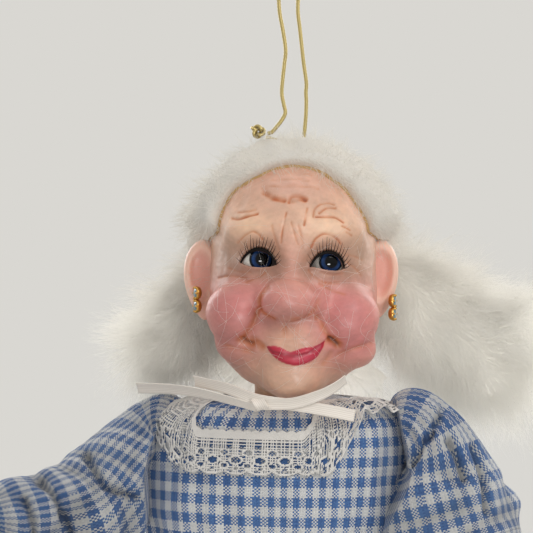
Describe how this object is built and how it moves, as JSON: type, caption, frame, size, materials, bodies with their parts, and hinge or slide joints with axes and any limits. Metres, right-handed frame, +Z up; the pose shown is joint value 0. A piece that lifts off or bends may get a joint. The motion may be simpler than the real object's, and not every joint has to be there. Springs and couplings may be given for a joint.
{
  "type": "hanging doll ornament",
  "caption": "Jointed old-lady doll ornament with a sculpted clay head, fluffy mohair wig, gingham dress with lace collar and ribbon, wire limbs and a gold cord loop to hang it by.",
  "frame": {"origin": "inside of the top of the hanging loop, where the hook carries it", "axes": "+Z up; the face looks along -Y; the doll's own left is +X"},
  "size_m": [0.1757, 0.0808, 0.3205],
  "materials": {
    "clay_skin": "painted air-dry clay, satin",
    "eye_acrylic": "clear polished acrylic over a painted iris",
    "lash_fibre": "fine dark fibre",
    "cap_felt": "tan felt",
    "mohair": "fluffy off-white mohair",
    "gold_metal": "polished gold-coloured brass",
    "rhinestone": "faceted grey-blue glass with a foil back",
    "steel_wire": "plain soft wire",
    "gold_cord": "twisted metallic gold thread",
    "muslin": "plain woven cotton",
    "gingham": "woven blue and white check",
    "lace": "soft cotton lace",
    "satin_ribbon": "cream satin",
    "white_cotton": "fine white cotton",
    "stocking_knit": "ribbed white knit",
    "shoe_black": "black, glossy",
    "peg_wood": "plain dowel",
    "button_pearl": "pearly"
  },
  "bodies": {
    "head": {"head": "clay_skin", "eye_left": "eye_acrylic", "eye_right": "eye_acrylic", "lashes_left": "lash_fibre", "lashes_right": "lash_fibre", "wig_cap": "cap_felt", "hair_crown": "mohair", "hair_back": "mohair", "hair_left": "mohair", "hair_right": "mohair", "earring_left": "gold_metal", "earring_right": "gold_metal", "stone_left_upper": "rhinestone", "stone_left_lower": "rhinestone", "stone_right_upper": "rhinestone", "stone_right_lower": "rhinestone", "crown_eye": "steel_wire", "hanging_cord": "gold_cord", "cord_knot": "gold_cord"},
    "torso": {"body_stuffing": "muslin", "neck_peg": "peg_wood", "bodice": "gingham", "lace_collar": "lace", "neck_ribbon": "satin_ribbon", "skirt": "gingham", "button_top": "button_pearl", "button_middle": "button_pearl", "button_bottom": "button_pearl"},
    "upper_arm_left": {"upper_arm_left": "muslin", "upper_arm_wire_left": "steel_wire", "upper_sleeve_left": "gingham"},
    "forearm_left": {"forearm_left": "muslin", "forearm_wire_left": "steel_wire", "lower_sleeve_left": "gingham", "hand_left": "clay_skin"},
    "thigh_left": {"thigh_left": "muslin", "thigh_wire_left": "steel_wire", "bloomer_left": "white_cotton"},
    "shin_left": {"shin_left": "stocking_knit", "shin_wire_left": "steel_wire", "shoe_left": "shoe_black"},
    "upper_arm_right": {"upper_arm_right": "muslin", "upper_arm_wire_right": "steel_wire", "upper_sleeve_right": "gingham"},
    "forearm_right": {"forearm_right": "muslin", "forearm_wire_right": "steel_wire", "lower_sleeve_right": "gingham", "hand_right": "clay_skin"},
    "thigh_right": {"thigh_right": "muslin", "thigh_wire_right": "steel_wire", "bloomer_right": "white_cotton"},
    "shin_right": {"shin_right": "stocking_knit", "shin_wire_right": "steel_wire", "shoe_right": "shoe_black"}
  },
  "joints": [
    {"name": "head_turn", "type": "hinge", "parent": "head", "child": "torso", "pos_m": [-0.002, 0.004, -0.1204], "axis": [0, 0, 1], "range_deg": [-25, 45], "deforming": ["hair_back", "hair_left", "hair_right"]},
    {"name": "shoulder_left", "type": "hinge", "parent": "torso", "child": "upper_arm_left", "pos_m": [0.03277, -0.00532, -0.128], "axis": [-0.2588, -0.9659, 0], "range_deg": [0, 70], "deforming": ["upper_sleeve_left"]},
    {"name": "elbow_left", "type": "hinge", "parent": "upper_arm_left", "child": "forearm_left", "pos_m": [0.03975, -0.00889, -0.15903], "axis": [-0.6264, -0.7778, -0.0512], "range_deg": [-12, 66], "deforming": ["lower_sleeve_left"]},
    {"name": "shoulder_right", "type": "hinge", "parent": "torso", "child": "upper_arm_right", "pos_m": [-0.03677, 0.01332, -0.128], "axis": [0.2588, 0.9659, 0], "range_deg": [-30, 50], "deforming": ["upper_sleeve_right"]},
    {"name": "elbow_right", "type": "hinge", "parent": "upper_arm_right", "child": "forearm_right", "pos_m": [-0.05634, -0.00388, -0.14658], "axis": [-0.3341, 0.8407, -0.4262], "range_deg": [-28, 50], "deforming": ["lower_sleeve_right"]},
    {"name": "hip_left", "type": "hinge", "parent": "torso", "child": "thigh_left", "pos_m": [0.01007, 0.00076, -0.2103], "axis": [-0.9659, 0.2588, 0], "range_deg": [-15, 25]},
    {"name": "knee_left", "type": "hinge", "parent": "thigh_left", "child": "shin_left", "pos_m": [0.01007, 0.00076, -0.2533], "axis": [0.9659, -0.2588, 0], "range_deg": [0, 60]},
    {"name": "hip_right", "type": "hinge", "parent": "torso", "child": "thigh_right", "pos_m": [-0.01407, 0.00724, -0.2103], "axis": [-0.9659, 0.2588, 0], "range_deg": [-15, 25]},
    {"name": "knee_right", "type": "hinge", "parent": "thigh_right", "child": "shin_right", "pos_m": [-0.01407, 0.00724, -0.2533], "axis": [0.9659, -0.2588, 0], "range_deg": [0, 60]}
  ]
}
